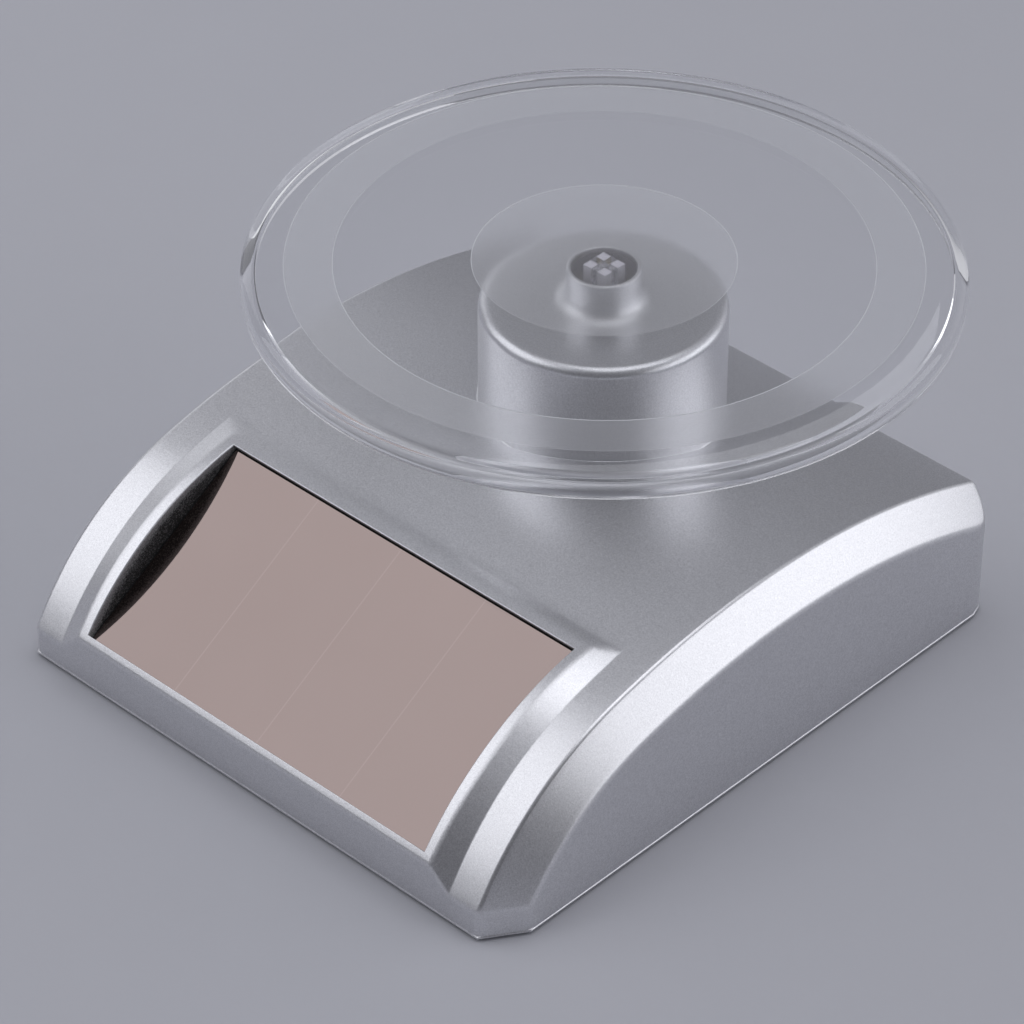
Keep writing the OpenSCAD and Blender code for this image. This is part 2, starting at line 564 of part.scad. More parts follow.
module circuit_board() color("#2f6b45") put() difference() {
  translate([board_p[0] - 9, board_p[1] - 6, cover_t + 1.6]) cube([18, 12, 1]);
  for (d = [[-7, -4], [7, 4]]) translate([board_p[0] + d[0], board_p[1] + d[1], 0]) cylinder(r = 0.7, h = 10, $fn = 24);
}
module board_parts() color("#1b1b1d") put() {
  translate([board_p[0] - 3, board_p[1] - 1.5, cover_t + 2.6]) cylinder(r = 2.5, h = 5, $fn = 48);
  translate([board_p[0] + 1, board_p[1] - 3.2, cover_t + 2.6]) cube([4.2, 2, 1.6]);
  translate([board_p[0] + 1, board_p[1] + 0.2, cover_t + 2.6]) cube([2, 1.2, 0.7]);
}
// Leads: the routes' points are set by hand
module panel_leads() for (k = [0, 1]) color(k == 0 ? "#b01818" : "#151515") put()
  translate([k * 1.5, 0, 0]) tube(smooth([[26, -54, 13.0], [26.4, -50, 11.6], [27.5, -38, 9], [28, -28, 6.8], [28.2, -21, 5.6], [28.2, -19, 5.0], [28.2, -18.5, 4.35]], 5), 0.5, 8);
module battery_leads() {
  color("#b01818") put() tube(smooth([[26.3, 12.75, 3.8], [26.3, 10, 3.8], [27, 6, 3.6], [30.4, 0, 4], [32, -5, 5], [32, -9, 5.2], [32, -9.6, 4.35]], 5), 0.5, 8);
  color("#151515") put() tube(smooth([[-26.3, 12.75, 3.8], [-26.3, 10, 3.8], [-22, 6.5, 3.2], [0, 5, 2.7], [20, 2, 2.9], [27, -2, 4.4], [29.5, -6, 5.6], [30, -8.8, 5.4], [30, -9.4, 4.35]], 5), 0.5, 8);
}
module motor_leads() for (k = [0, 1]) color(k == 0 ? "#b01818" : "#151515") put()
  translate([0, k * 1.6, 0]) tube(smooth([[17.3, -15, 3.4], [18.5, -15, 3.5], [19.6, -15, 5.2], [21, -15, 6.2], [22.2, -15, 5.6], [22.6, -15, 4.35]], 5), 0.45, 8);

top_housing();
bottom_cover();
battery_door();
rubber_feet();
housing_screws();
panel_frame();
panel_glass();
solar_cells();
panel_foam_tape();
turntable_plate();
output_shaft();
output_wheel();
shaft_bush();
thrust_washer();
gearbox_top_plate();
gearbox_base_plate();
gearbox_screws();
idler_gear_1();
idler_gear_2();
idler_pins();
motor_can();
motor_end_cap();
motor_screws();
motor_shaft();
motor_pinion();
battery_cell();
battery_contact();
battery_spring();
switch_body();
switch_knob();
circuit_board();
board_parts();
panel_leads();
battery_leads();
motor_leads();
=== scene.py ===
# Motorised display turntable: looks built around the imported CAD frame.
import bpy, bmesh, json, math
import numpy as np
from mathutils import Vector, Matrix


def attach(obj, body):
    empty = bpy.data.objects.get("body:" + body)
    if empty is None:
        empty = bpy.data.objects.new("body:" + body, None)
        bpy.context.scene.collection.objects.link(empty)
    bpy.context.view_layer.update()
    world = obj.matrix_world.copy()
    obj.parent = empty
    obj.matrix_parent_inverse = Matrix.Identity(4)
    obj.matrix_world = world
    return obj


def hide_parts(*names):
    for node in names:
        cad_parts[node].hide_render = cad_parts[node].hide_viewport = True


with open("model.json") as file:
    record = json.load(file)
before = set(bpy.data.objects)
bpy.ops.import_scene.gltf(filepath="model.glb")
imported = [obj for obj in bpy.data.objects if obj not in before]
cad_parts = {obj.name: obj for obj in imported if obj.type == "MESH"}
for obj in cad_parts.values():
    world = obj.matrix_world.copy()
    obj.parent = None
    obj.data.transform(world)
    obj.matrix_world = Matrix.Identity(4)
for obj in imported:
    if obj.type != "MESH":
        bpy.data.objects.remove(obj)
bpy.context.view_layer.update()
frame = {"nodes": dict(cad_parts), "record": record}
N = frame["nodes"]
sc = bpy.context.scene

# ---------------------------------------------------------------- frame shift
# Sizes below are in millimetres in the axis frame: x across, y back from the
# turntable's axis, z up from the housing's lower rim.
AXIS_Y, FOOT = 9.9, 0.5


def W(p):
    return Vector((p[0] * 1e-3, (p[1] + AXIS_Y) * 1e-3, (p[2] + FOOT) * 1e-3))


# ------------------------------------------------------------ camera, studio
cam_d = bpy.data.cameras.new("camera")
cam_d.sensor_width = 36.0
cam_d.lens = 167.13
cam_d.clip_start, cam_d.clip_end = 0.01, 20.0
cam = bpy.data.objects.new("camera", cam_d)
sc.collection.objects.link(cam)
cam_pos, cam_at = Vector((0.36160, -0.38756, 0.42241)), Vector((-0.02975, 0.02278, -0.01374))
cam.location = cam_pos
cam.rotation_euler = (cam_at - cam_pos).to_track_quat("-Z", "Y").to_euler()
sc.camera = cam
sc.view_settings.view_transform = "Standard"
sc.view_settings.look = "None"


def lamp(name, direction, dist, size, power, colour=(1, 1, 1), size_y=None, aim=(0, 0.0, 0.02)):
    d = bpy.data.lights.new(name, "AREA")
    d.shape = "RECTANGLE"
    d.size, d.size_y = size, size_y or size
    d.energy = power
    d.color = colour
    o = bpy.data.objects.new(name, d)
    sc.collection.objects.link(o)
    o.location = Vector(aim) + Vector(direction).normalized() * dist
    o.rotation_euler = (Vector(aim) - o.location).to_track_quat("-Z", "Y").to_euler()
    return o


SOFT = (0.955, 0.965, 1.0)
lamp("softbox_left", (-0.60, -0.50, 0.625), 0.80, 0.82, 2.20, SOFT, 0.78)
lamp("softbox_right", (0.80, 0.50, 0.33), 0.80, 1.10, 1.50, SOFT, 0.46)
lamp("softbox_top", (0.04, 0.15, 0.985), 1.10, 0.76, 2.80, SOFT, 0.80)
lamp("card_back_left", (-0.89, 0.36, 0.28), 0.90, 0.60, 0.62, SOFT, 0.60)

# Surroundings: a grey studio, darker near the horizon and on the viewer's right
world = bpy.data.worlds.new("studio")
sc.world = world
world.use_nodes = True
wn = world.node_tree
bgn = wn.nodes["Background"]
wco = wn.nodes.new("ShaderNodeTexCoord")


def toward(direction, a, b):
    """0 to 1 as the view turns towards direction, between cosines a and b."""
    d = wn.nodes.new("ShaderNodeVectorMath")
    d.operation = "DOT_PRODUCT"
    d.inputs[1].default_value = Vector(direction).normalized()
    m = wn.nodes.new("ShaderNodeMapRange")
    m.interpolation_type = "SMOOTHSTEP"
    m.inputs["From Min"].default_value = a
    m.inputs["From Max"].default_value = b
    wn.links.new(wco.outputs["Generated"], d.inputs[0])
    wn.links.new(d.outputs["Value"], m.inputs["Value"])
    return m.outputs["Result"]


def blend(fac, a, b):
    m = wn.nodes.new("ShaderNodeMix")
    m.data_type = "RGBA"
    wn.links.new(fac, m.inputs[0])
    for k, c in ((6, a), (7, b)):
        if isinstance(c, tuple):
            m.inputs[k].default_value = c
        else:
            wn.links.new(c, m.inputs[k])
    return m.outputs[2]


rise = blend(toward((0, 0, 1), 0.05, 0.80), (0.16, 0.162, 0.18, 1), (0.28, 0.283, 0.31, 1))
sky = blend(toward((0.75, -0.62, 0.22), 0.45, 0.95), rise, (0.09, 0.09, 0.10, 1))
sky = blend(toward((0.62, 0.78, 0.05), 0.45, 0.92), sky, (0.60, 0.605, 0.645, 1))
wn.links.new(sky, bgn.inputs["Color"])
bgn.inputs["Strength"].default_value = 1.0
sc.cycles.max_bounces = 20
sc.cycles.transmission_bounces = 20
sc.cycles.glossy_bounces = 6


# ------------------------------------------------------------------ materials
class Mat:
    """A node material with small helpers."""

    def __init__(self, name):
        self.m = bpy.data.materials.new(name)
        self.m.use_nodes = True
        self.t = self.m.node_tree
        self.t.nodes.clear()
        self.out = self.t.nodes.new("ShaderNodeOutputMaterial")
        self.b = self.node("ShaderNodeBsdfPrincipled")
        self.link(self.b, "BSDF", self.out, "Surface")
        self.co = self.node("ShaderNodeTexCoord")

    def node(self, kind, **kw):
        n = self.t.nodes.new(kind)
        for k, v in kw.items():
            setattr(n, k, v)
        return n

    def link(self, a, ao, b, bi):
        self.t.links.new(a.outputs[ao], b.inputs[bi])

    def set(self, **kw):
        for k, v in kw.items():
            self.b.inputs[k.replace("_", " ")].default_value = v

    def noise(self, scale, detail=3.0, rough=0.6, stretch=None):
        n = self.node("ShaderNodeTexNoise")
        n.inputs["Scale"].default_value = scale
        n.inputs["Detail"].default_value = detail
        n.inputs["Roughness"].default_value = rough
        if stretch:
            mp = self.node("ShaderNodeMapping")
            mp.inputs["Scale"].default_value = stretch
            self.link(self.co, "Object", mp, "Vector")
            self.link(mp, "Vector", n, "Vector")
        else:
            self.link(self.co, "Object", n, "Vector")
        return n

    def ramp(self, src, out, stops, mode="LINEAR"):
        r = self.node("ShaderNodeValToRGB")
        r.color_ramp.interpolation = mode
        e = r.color_ramp.elements
        while len(e) < len(stops):
            e.new(0.5)
        for k, (p, c) in enumerate(stops):
            e[k].position = p
            e[k].color = (*c, 1) if len(c) == 3 else c
        self.link(src, out, r, "Fac")
        return r

    def remap(self, src, out, lo, hi, a=0.3, b=0.7):
        r = self.node("ShaderNodeMapRange")
        r.inputs["From Min"].default_value = a
        r.inputs["From Max"].default_value = b
        r.inputs["To Min"].default_value = lo
        r.inputs["To Max"].default_value = hi
        self.link(src, out, r, "Value")
        return r

    def bump(self, src, out, strength, dist, chain=None):
        b = self.node("ShaderNodeBump")
        b.inputs["Strength"].default_value = strength
        b.inputs["Distance"].default_value = dist
        self.link(src, out, b, "Height")
        if chain:
            self.link(chain, "Normal", b, "Normal")
        return b


def plastic(name, dark, light, rough=(0.4, 0.55), grain=4000, bump=0.25, dist=2e-5, metallic=0.0, cloud=60,
            coat=0.0, spec=0.5):
    """Moulded plastic or metal: soft colour clouding, roughness variation and a fine texture."""
    k = Mat(name)
    c = k.noise(cloud, 4.0)
    r = k.ramp(c, "Fac", [(0.3, dark), (0.7, light)])
    k.link(r, "Color", k.b, "Base Color")
    g = k.noise(grain, 2.0)
    rr = k.remap(g, "Fac", rough[0], rough[1])
    k.link(rr, "Result", k.b, "Roughness")
    b = k.bump(g, "Fac", bump, dist)
    k.link(b, "Normal", k.b, "Normal")
    k.b.inputs["Metallic"].default_value = metallic
    k.b.inputs["Coat Weight"].default_value = coat
    k.b.inputs["Coat Roughness"].default_value = 0.1
    k.b.inputs["Specular IOR Level"].default_value = spec
    return k.m


def silver_paint(name, masked=False):
    """Satin metallic paint: flakes of about 0.15 mm that differ in tone and tilt."""
    k = Mat(name)
    k.set(Metallic=0.92)
    fine = k.noise(6500, 2.0, 0.7)
    mid = k.noise(3000, 2.0, 0.6)
    tone = k.node("ShaderNodeMath", operation="MULTIPLY_ADD")
    k.link(mid, "Fac", tone, 0)
    tone.inputs[1].default_value = 0.35
    k.link(fine, "Fac", tone, 2)
    col = k.ramp(tone, "Value", [(0.42, (0.58, 0.58, 0.597)), (0.68, (0.73, 0.73, 0.75)),
                                 (0.93, (0.89, 0.89, 0.91))])
    rough = k.remap(mid, "Fac", 0.30, 0.36)
    b1 = k.bump(fine, "Fac", 0.45, 2.4e-5)
    k.link(b1, "Normal", k.b, "Normal")
    if masked:
        # silver that fades to black down the wall of the recess
        at = k.node("ShaderNodeAttribute", attribute_name="paint")
        speck = k.noise(4200, 2.0, 0.8)
        add = k.node("ShaderNodeMath", operation="ADD")
        k.link(at, "Fac", add, 0)
        k.link(speck, "Fac", add, 1)
        mask = k.remap(add, "Value", 0.0, 1.0, 0.62, 1.32)
        mix = k.node("ShaderNodeMix", data_type="RGBA")
        k.link(mask, "Result", mix, 0)
        mix.inputs[6].default_value = (0.006, 0.006, 0.0065, 1)
        k.link(col, "Color", mix, 7)
        k.t.links.new(mix.outputs[2], k.b.inputs["Base Color"])
        met = k.remap(mask, "Result", 0.0, 0.9, 0.0, 1.0)
        k.link(met, "Result", k.b, "Metallic")
        ro = k.remap(mask, "Result", 0.5, 0.42, 0.0, 1.0)
        k.link(ro, "Result", k.b, "Roughness")
    else:
        k.link(col, "Color", k.b, "Base Color")
        k.link(rough, "Result", k.b, "Roughness")
    return k.m


def clear_material(name, frosted=False, through=0.80):
    """Clear styrene; where frosted, a fine texture scatters a share of the light."""
    k = Mat(name)
    k.set(IOR=1.49)
    k.b.inputs["Transmission Weight"].default_value = 1.0
    haze = k.noise(700, 2.0)
    c = k.ramp(haze, "Fac", [(0.3, (0.975, 0.978, 0.99)), (0.7, (0.985, 0.988, 0.995))])
    k.link(c, "Color", k.b, "Base Color")
    r = k.remap(haze, "Fac", *((0.004, 0.02) if not frosted else (0.20, 0.24)))
    k.link(r, "Result", k.b, "Roughness")
    surf, so = k.b, "BSDF"
    if frosted:
        veil = k.node("ShaderNodeBsdfTranslucent")
        dif = k.node("ShaderNodeBsdfDiffuse")
        dif.inputs["Color"].default_value = (0.86, 0.87, 0.90, 1)
        veil.inputs["Color"].default_value = (0.86, 0.87, 0.90, 1)
        both = k.node("ShaderNodeMixShader")
        both.inputs[0].default_value = 0.35
        k.link(dif, "BSDF", both, 1)
        k.link(veil, "BSDF", both, 2)
        grain = k.noise(4200, 2.0, 0.7)
        fac = k.remap(grain, "Fac", 0.10, 0.19)
        mx = k.node("ShaderNodeMixShader")
        k.link(fac, "Result", mx, 0)
        k.link(k.b, "BSDF", mx, 1)
        k.link(both, "Shader", mx, 2)
        surf, so = mx, "Shader"
    path = k.node("ShaderNodeLightPath")
    thru = k.node("ShaderNodeBsdfTransparent")
    thru.inputs["Color"].default_value = (0.97, 0.972, 0.975, 1) if not frosted else (through, through, through, 1)
    # mirrored rays from other pieces pass straight through
    mirrored = k.node("ShaderNodeMath", operation="SUBTRACT", use_clamp=True)
    k.link(path, "Is Glossy Ray", mirrored, 0)
    k.link(path, "Is Transmission Ray", mirrored, 1)
    thin = k.node("ShaderNodeMath", operation="MAXIMUM")
    k.link(path, "Is Shadow Ray", thin, 0)
    k.link(mirrored, "Value", thin, 1)
    last = k.node("ShaderNodeMixShader")
    k.link(thin, "Value", last, 0)
    k.link(surf, so, last, 1)
    k.link(thru, "BSDF", last, 2)
    k.link(last, "Shader", k.out, "Surface")
    return k.m


def panel_material(name):
    """Thin-film solar glass: a brown mirror coat with fine cell lines drawn in the shader."""
    k = Mat(name)
    k.set(Metallic=1.0)
    c = k.noise(40, 3.0)
    r = k.ramp(c, "Fac", [(0.3, (0.278, 0.221, 0.205)), (0.7, (0.286, 0.228, 0.212))])
    # the three scribed lines between the four cells
    xyz = k.node("ShaderNodeSeparateXYZ")
    k.link(k.co, "Object", xyz, "Vector")
    total = None
    for x in (-0.0158, 0.0002, 0.0161):
        c1 = k.node("ShaderNodeMath", operation="COMPARE")
        k.link(xyz, "X", c1, 0)
        c1.inputs[1].default_value = x
        c1.inputs[2].default_value = 0.00009
        if total is not None:
            add = k.node("ShaderNodeMath", operation="ADD")
            k.link(total, "Value", add, 0)
            k.link(c1, "Value", add, 1)
            c1 = add
        total = c1
    line = k.node("ShaderNodeMix", data_type="RGBA")
    k.link(total, "Value", line, 0)
    k.t.links.new(r.outputs["Color"], line.inputs[6])
    line.inputs[7].default_value = (0.312, 0.25, 0.234, 1)
    k.t.links.new(line.outputs[2], k.b.inputs["Base Color"])
    g = k.noise(900, 2.0)
    rr = k.remap(g, "Fac", 0.03, 0.06)
    k.link(rr, "Result", k.b, "Roughness")
    b = k.bump(k.noise(25, 2.0), "Fac", 0.05, 1e-5)
    k.link(b, "Normal", k.b, "Normal")
    return k.m


M = {
    "silver_paint": silver_paint("silver_paint_look"),
    "grey_plastic": plastic("grey_plastic_look", (0.17, 0.175, 0.18), (0.20, 0.205, 0.21), (0.42, 0.6), 3500, 0.35, 3e-5),
    "foot_rubber": plastic("foot_rubber_look", (0.012, 0.012, 0.013), (0.02, 0.02, 0.021), (0.7, 0.9), 2500, 0.5, 4e-5),
    "screw_steel": plastic("screw_steel_look", (0.48, 0.48, 0.49), (0.56, 0.56, 0.57), (0.22, 0.4), 5000, 0.2, 1e-5, 1.0),
    "black_plastic": plastic("black_plastic_look", (0.006, 0.006, 0.007), (0.011, 0.011, 0.012), (0.38, 0.55), 3000, 0.3, 2e-5),
    "panel_glass": panel_material("panel_glass_look"),
    "cell_film": plastic("cell_film_look", (0.10, 0.06, 0.05), (0.13, 0.08, 0.065), (0.1, 0.2), 1500, 0.05, 1e-5, 0.6),
    "foam_tape": plastic("foam_tape_look", (0.012, 0.012, 0.013), (0.022, 0.022, 0.024), (0.85, 0.97), 2200, 0.8, 8e-5),
    "clear_plastic": clear_material("clear_plastic_look"),
    "natural_acetal": plastic("natural_acetal_look", (0.66, 0.65, 0.60), (0.72, 0.71, 0.67), (0.28, 0.42), 1800, 0.15, 2e-5),
    "bush_brass": plastic("bush_brass_look", (0.55, 0.40, 0.16), (0.63, 0.47, 0.20), (0.25, 0.4), 3000, 0.2, 1e-5, 1.0),
    "washer_nylon": plastic("washer_nylon_look", (0.62, 0.62, 0.58), (0.7, 0.7, 0.66), (0.35, 0.5), 2500, 0.2, 2e-5),
    "dark_plastic": plastic("dark_plastic_look", (0.035, 0.036, 0.042), (0.05, 0.051, 0.057), (0.4, 0.55), 3000, 0.3, 2e-5),
    "pin_steel": plastic("pin_steel_look", (0.5, 0.5, 0.51), (0.58, 0.58, 0.59), (0.15, 0.3), 4000, 0.1, 1e-5, 1.0),
    "motor_steel": plastic("motor_steel_look", (0.42, 0.42, 0.43), (0.5, 0.5, 0.51), (0.28, 0.42), 3500, 0.2, 1e-5, 1.0),
    "cell_wrap": plastic("cell_wrap_look", (0.03, 0.12, 0.055), (0.045, 0.15, 0.07), (0.2, 0.32), 1500, 0.1, 1e-5, 0.0, 80, 0.4),
    "contact_nickel": plastic("contact_nickel_look", (0.55, 0.54, 0.5), (0.62, 0.61, 0.57), (0.2, 0.35), 3500, 0.15, 1e-5, 1.0),
    "board_green": plastic("board_green_look", (0.012, 0.07, 0.025), (0.02, 0.10, 0.035), (0.25, 0.4), 2000, 0.2, 2e-5, 0.0, 300, 0.3),
    "lead_pvc": plastic("lead_pvc_look", (0.02, 0.02, 0.02), (0.035, 0.035, 0.035), (0.3, 0.45), 1500, 0.1, 2e-5),
}
FROST = clear_material("clear_plastic_frosted", True)
FROST_MID = clear_material("clear_plastic_frosted_middle", True, 0.72)
# painted highlight: the small steps at the edges of the frosted rings are opaque light grey instead of clear plastic,
# so they show as bright lines
STEP_HIGHLIGHT = plastic("clear_plastic_step_highlight", (0.60, 0.61, 0.64), (0.66, 0.67, 0.70), (0.5, 0.6), 2500, 0.1, 1e-5)
WALL = silver_paint("silver_paint_fading", True)
SHAFT = plastic("shaft_plastic_look", (0.50, 0.485, 0.54), (0.57, 0.555, 0.60), (0.3, 0.45), 2500, 0.2, 2e-5)
# painted shade: the inside of the bore below its top lip is coloured dark purple-grey instead of the silver paint
# around it
BORE_SHADE = plastic("bore_painted_shade_look", (0.17, 0.158, 0.185), (0.22, 0.205, 0.235), (0.4, 0.55), 2500, 0.2, 2e-5)
RED = plastic("lead_red_look", (0.32, 0.012, 0.012), (0.40, 0.02, 0.02), (0.3, 0.45), 1500, 0.1, 2e-5)

slot_of = {}
for m in frame["record"].get("materials", []):
    for n in m.get("nodes", []):
        slot_of[n] = m["slot"]
for name, o in N.items():
    for k, old in enumerate(o.data.materials):
        base = (old.name if old else "").split(".")[0]
        slot = base if base in M else slot_of.get(name, "grey_plastic")
        o.data.materials[k] = M[slot]


for k in range(len(N["output_shaft"].data.materials)):
    N["output_shaft"].data.materials[k] = SHAFT


# ------------------------------------------------------------- mesh builders
def new_piece(name, bm, mats, body, nodes=(), angle=32.0, smooth=True):
    """Turns bm (in metres) into a piece with sharp edges above angle, riding on body."""
    bm.normal_update()
    for f in bm.faces:
        f.smooth = smooth
    for e in bm.edges:
        e.smooth = not (len(e.link_faces) == 2 and e.calc_face_angle(0) > math.radians(angle))
    me = bpy.data.meshes.new(name)
    bm.to_mesh(me)
    bm.free()
    for m in mats:
        me.materials.append(m)
    o = bpy.data.objects.new(name, me)
    sc.collection.objects.link(o)
    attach(o, body)
    if nodes:
        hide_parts(*nodes)
    return o


def apply_modifiers(o):
    """Bakes o's modifiers into its mesh."""
    dg = bpy.context.evaluated_depsgraph_get()
    me = bpy.data.meshes.new_from_object(o.evaluated_get(dg), preserve_all_data_layers=True, depsgraph=dg)
    old = o.data
    o.modifiers.clear()
    o.data = me
    bpy.data.meshes.remove(old)


# Side-view arcs of the arch and of the raised bezel
C1, R1 = (-13.2, 28.2 - 119.4), 119.4
C2, R2 = (-13.2 - 77.4 * math.sin(math.radians(15)), 28.2 - 119.4 + 77.4 * math.cos(math.radians(15))), 42.0
C3, R3 = (-33.05, -18.56), 45.0
HW, FD, BD, BX, BDEP = 46.9, 69.8, 30.6, 4.1, 5.2
LIP_Y, UP_Y, CREST_Y, FOOT_Y = -69.0, -40.5, -38.8, -36.3
OPEN, CREST_X, FOOT_X = 32.45, 34.1, 37.5


def z_arch(y, d=0.0):
    """Height of the arch, inset by d, at depth y."""
    join = C2[0] - (R2 - d) * math.sin(math.radians(15))
    c, r = (C2, R2 - d) if y < join else (C1, R1 - d)
    return c[1] + math.sqrt(max(r * r - (y - c[0]) ** 2, 0.0))


def z_crest(y):
    return C3[1] + math.sqrt(max(R3 * R3 - (y - C3[0]) ** 2, 0.0))


def front_y(x):
    x = abs(x)
    return -FD if x <= HW - BX else -FD + (x - (HW - BX)) * 6.0 / BX


def back_y(x):
    x = abs(x)
    return BD if x <= HW - 3.4 else BD - 3.4 + math.sqrt(max(3.4 ** 2 - (x - HW + 3.4) ** 2, 0.0))


def top_z(x, y):
    """Height of the housing's roof, without tower."""
    ax = abs(x)
    if ax > HW - BX:
        return z_arch(y, (ax - (HW - BX)) * BDEP / BX)
    za = z_arch(y)
    if y > FOOT_Y or ax >= FOOT_X:
        return za
    # raised bezel: crest, side facets and top facet
    zc = z_crest(min(y, CREST_Y))
    side = za + (z_crest(min(y, CREST_Y)) - za) * (FOOT_X - ax) / (FOOT_X - CREST_X) if ax > CREST_X else 1e9
    top = 1e9
    if y > CREST_Y:
        h = z_crest(CREST_Y) - z_arch(CREST_Y)
        top = za + h * (FOOT_Y - y) / (FOOT_Y - CREST_Y)
    if ax > CREST_X and y > CREST_Y:
        h = z_crest(CREST_Y) - z_arch(CREST_Y)
        side = za + h * (FOOT_X - ax) / (FOOT_X - CREST_X)
    return min(zc if y <= CREST_Y else 1e9, side, top) if min(side, top) < 1e8 or y <= CREST_Y else za


def housing():
    sq, nsq = 24.0, 32
    right = [OPEN, CREST_X, 35.8, FOOT_X, 39.2, 41.0, HW - BX, 43.5, 44.4, 45.3, 46.2, HW]
    inner = [-sq + 2 * sq * k / nsq for k in range(nsq + 1)]
    mid = [25.5, 27.0, 28.5, 30.0, 31.3]
    xs = [-v for v in reversed(mid + right)] + inner + mid + right
    steps = 22
    ys = ([-FD] + [LIP_Y + (UP_Y - LIP_Y) * k / steps for k in range(steps + 1)]
          + [-39.65, CREST_Y, -38.25, -37.6, -36.95, FOOT_Y, -34.9, -33.4, -31.8, -30.2, -28.6, -27.0, -25.5]
          + inner + [25.6, 27.2, 28.9, BD])
    nx, ny = len(xs), len(ys)
    bm = bmesh.new()
    bw = bm.edges.layers.float.new("bevel_weight_edge")
    paint = bm.verts.layers.float.new("paint")
    ix0, ix1 = xs.index(-sq), len(xs) - 1 - xs[::-1].index(sq)
    jy0 = ys.index(-sq)
    jy1 = jy0 + nsq
    iL = min(range(nx), key=lambda i: abs(xs[i] + OPEN))
    iR = min(range(nx), key=lambda i: abs(xs[i] - OPEN))
    jl = min(range(ny), key=lambda j: abs(ys[j] - LIP_Y))
    ju = min(range(ny), key=lambda j: abs(ys[j] - UP_Y))

    def pos(i, j):
        x, y = xs[i], ys[j]
        if abs(x) > HW - BX - 1e-9:
            f, b = front_y(x), back_y(x)
            y = f + (y + FD) * (b - f) / (BD + FD)
        return x, y, top_z(x, y)

    def inside_pos(i, j):
        x, y, z = pos(i, j)
        return x * (HW - 1.8) / HW, (y + 19.6) * (50.2 - 1.8) / 50.2 - 19.6, z - 2.0

    V, U = {}, {}
    for i in range(nx):
        for j in range(ny):
            hole = ix0 < i < ix1 and jy0 < j < jy1
            opening = iL < i < iR and jl < j < ju
            if hole or opening:
                continue
            V[i, j] = bm.verts.new(W(pos(i, j)))
            V[i, j][paint] = 1.0

    def cells():
        for i in range(nx - 1):
            for j in range(ny - 1):
                if ix0 <= i < ix1 and jy0 <= j < jy1:
                    continue
                if iL <= i < iR and jl <= j < ju:
                    continue
                yield i, j

    for i, j in cells():
        q = [V[i, j], V[i + 1, j], V[i + 1, j + 1], V[i, j + 1]]
        # the mitre where the side facets meet the top facet
        mx = abs(xs[i] + xs[i + 1]) / 2
        if CREST_X < mx < FOOT_X and CREST_Y - 1e-6 <= ys[j] < FOOT_Y - 1e-6:
            if xs[i] > 0:
                bm.faces.new((q[0], q[1], q[2])); bm.faces.new((q[0], q[2], q[3]))
            else:
                bm.faces.new((q[0], q[1], q[3])); bm.faces.new((q[1], q[2], q[3]))
            continue
        bm.faces.new(q)

    def edge(a, b, w):
        e = bm.edges.get((a, b))
        if e is not None:
            e[bw] = w

    # inner shell under the roof
    def panel_down(p, w_to):
        """p moved along the panel's inward normal until its height above the panel is w_to."""
        a = math.radians(31.35)
        w = -math.sin(a) * (p[1] + 53.97) + math.cos(a) * (p[2] - 16.45)
        k = w - w_to
        return (p[0], p[1] + math.sin(a) * k, p[2] - math.cos(a) * k), w

    loop = ([(i, jl) for i in range(iL, iR)] + [(iR, j) for j in range(jl, ju)]
            + [(i, ju) for i in range(iR, iL, -1)] + [(iL, j) for j in range(ju, jl, -1)])
    levels = [0.35, 0.9, 1.7, None]
    rings = [[V[k] for k in loop]]
    tone = [0.58, 0.38, 0.16, 0.0]
    for n, lv in enumerate(levels):
        ring = []
        for k in loop:
            p = pos(*k)
            low, w = panel_down(p, -3.2)
            share = 1.0 if lv is None else min(lv / (w + 3.2), 0.25 + 0.2 * n)
            q = tuple(p[c] + (low[c] - p[c]) * share for c in range(3))
            v = bm.verts.new(W(q))
            v[paint] = tone[n]
            ring.append(v)
        rings.append(ring)
    wall_faces = []
    for a, b in zip(rings, rings[1:]):
        for k in range(len(loop)):
            n = (k + 1) % len(loop)
            wall_faces.append(bm.faces.new((a[k], a[n], b[n], b[k])))
    for f in wall_faces:
        f.material_index = 1
    bottom = dict(zip(loop, rings[-1]))
    for key in V:
        U[key] = bottom.get(key) or bm.verts.new(W(inside_pos(*key)))
    for i, j in cells():
        bm.faces.new((U[i, j + 1], U[i + 1, j + 1], U[i + 1, j], U[i, j]))

    # walls: the roof's outline taken down to the rim
    rim = ([(i, 0) for i in range(0, nx - 1)] + [(nx - 1, j) for j in range(0, ny - 1)]
           + [(i, ny - 1) for i in range(nx - 1, 0, -1)] + [(0, j) for j in range(ny - 1, 0, -1)])
    L = len(rim)

    def skirt(source, shares):
        out = []
        for s in shares:
            ring = []
            for k in rim:
                c = source[k].co
                ring.append(bm.verts.new((c.x, c.y, FOOT * 1e-3 + s if s < 0.001 else FOOT * 1e-3 + (c.z - FOOT * 1e-3) * s)))
            out.append(ring)
        return out

    # a thin flange stands out along the lower rim, so the walls above it are set in a little
    out_rings = [[V[k] for k in rim]] + skirt(V, [0.75, 0.5, 0.25]) + skirt(V, [0.00030, 0.00018, 0.0])
    for ring in out_rings[1:5]:
        for v in ring:
            v.co.x *= 1 - 0.00007 / (HW * 1e-3)
            v.co.y += 0.00007 if v.co.y < (AXIS_Y - 60) * 1e-3 else (-0.00007 if v.co.y > (AXIS_Y + 20) * 1e-3 else 0.0)
    for v in out_rings[-1]:
        v[paint] = 1.0
    for a, b in zip(out_rings, out_rings[1:]):
        for k in range(L):
            n = (k + 1) % L
            bm.faces.new((b[k], b[n], a[n], a[k]))
    in_rings = [[U[k] for k in rim]] + skirt(U, [0.5, 0.0])
    for a, b in zip(in_rings, in_rings[1:]):
        for k in range(L):
            n = (k + 1) % L
            bm.faces.new((a[k], a[n], b[n], b[k]))
    a, b = out_rings[-1], in_rings[-1]
    for k in range(L):
        n = (k + 1) % L
        bm.faces.new((b[k], b[n], a[n], a[k]))

